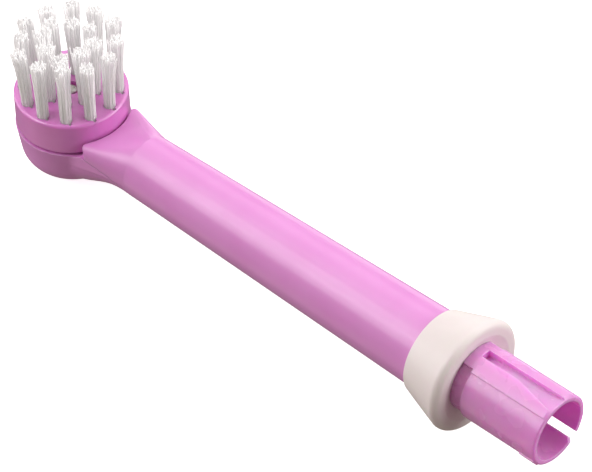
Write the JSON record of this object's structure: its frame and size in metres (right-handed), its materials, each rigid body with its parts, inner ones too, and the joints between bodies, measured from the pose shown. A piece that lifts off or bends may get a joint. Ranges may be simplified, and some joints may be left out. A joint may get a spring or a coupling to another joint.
{
  "type": "powered toothbrush head",
  "caption": "Detachable round brush head for a powered toothbrush: bristle disc that oscillates on a pivot, tapered stem, flared collar and a keyed snap-in plug.",
  "frame": {"origin": "centre of the plug's mouth, on the stem's axis", "axes": "+X out of the mouth along the stem towards the handle, +Z the side the bristles stand on, +Y across"},
  "size_m": [0.0903, 0.0154, 0.0224],
  "materials": {
    "pink_shell": "glossy moulded plastic, orchid pink",
    "pink_disc": "glossy moulded plastic, orchid pink",
    "pink_plug": "glossy moulded plastic, orchid pink",
    "collar_white": "satin ivory-white plastic",
    "bristle_nylon": "white translucent nylon filament",
    "steel": "bright drawn stainless wire",
    "anchor_brass": "flat wire",
    "acetal": "natural white acetal"
  },
  "bodies": {
    "stem": {"stem_body": "pink_shell", "head_back_cover": "pink_shell", "pivot_pin": "steel", "front_guide_bush": "acetal", "rear_guide_bush": "acetal", "collar_ring": "collar_white", "coupling_plug": "pink_plug"},
    "brush": {"brush_disc": "pink_disc", "tuft_anchors": "anchor_brass", "tuft_outer_01": "bristle_nylon", "tuft_outer_02": "bristle_nylon", "tuft_outer_03": "bristle_nylon", "tuft_outer_04": "bristle_nylon", "tuft_outer_05": "bristle_nylon", "tuft_outer_06": "bristle_nylon", "tuft_outer_07": "bristle_nylon", "tuft_outer_08": "bristle_nylon", "tuft_outer_09": "bristle_nylon", "tuft_outer_10": "bristle_nylon", "tuft_outer_11": "bristle_nylon", "tuft_outer_12": "bristle_nylon", "tuft_inner_01": "bristle_nylon", "tuft_inner_02": "bristle_nylon", "tuft_inner_03": "bristle_nylon", "tuft_inner_04": "bristle_nylon", "tuft_inner_05": "bristle_nylon", "tuft_inner_06": "bristle_nylon", "tuft_inner_07": "bristle_nylon", "tuft_inner_08": "bristle_nylon"},
    "drive": {"drive_rod": "steel", "drive_coupler": "acetal"}
  },
  "joints": [
    {"name": "brush_oscillation", "type": "hinge", "parent": "stem", "child": "brush", "pos_m": [-0.08265, 0, 0.003], "axis": [0, 0, 1], "range_deg": [-20, 20]},
    {"name": "rod_stroke", "type": "slide", "parent": "stem", "child": "drive", "axis": [1, 0, 0], "range_m": [-0.00089, 0.00089]}
  ],
  "couplings": [
    {"joint": "brush_oscillation", "follows": "rod_stroke", "rad_per_m": 392.2}
  ]
}
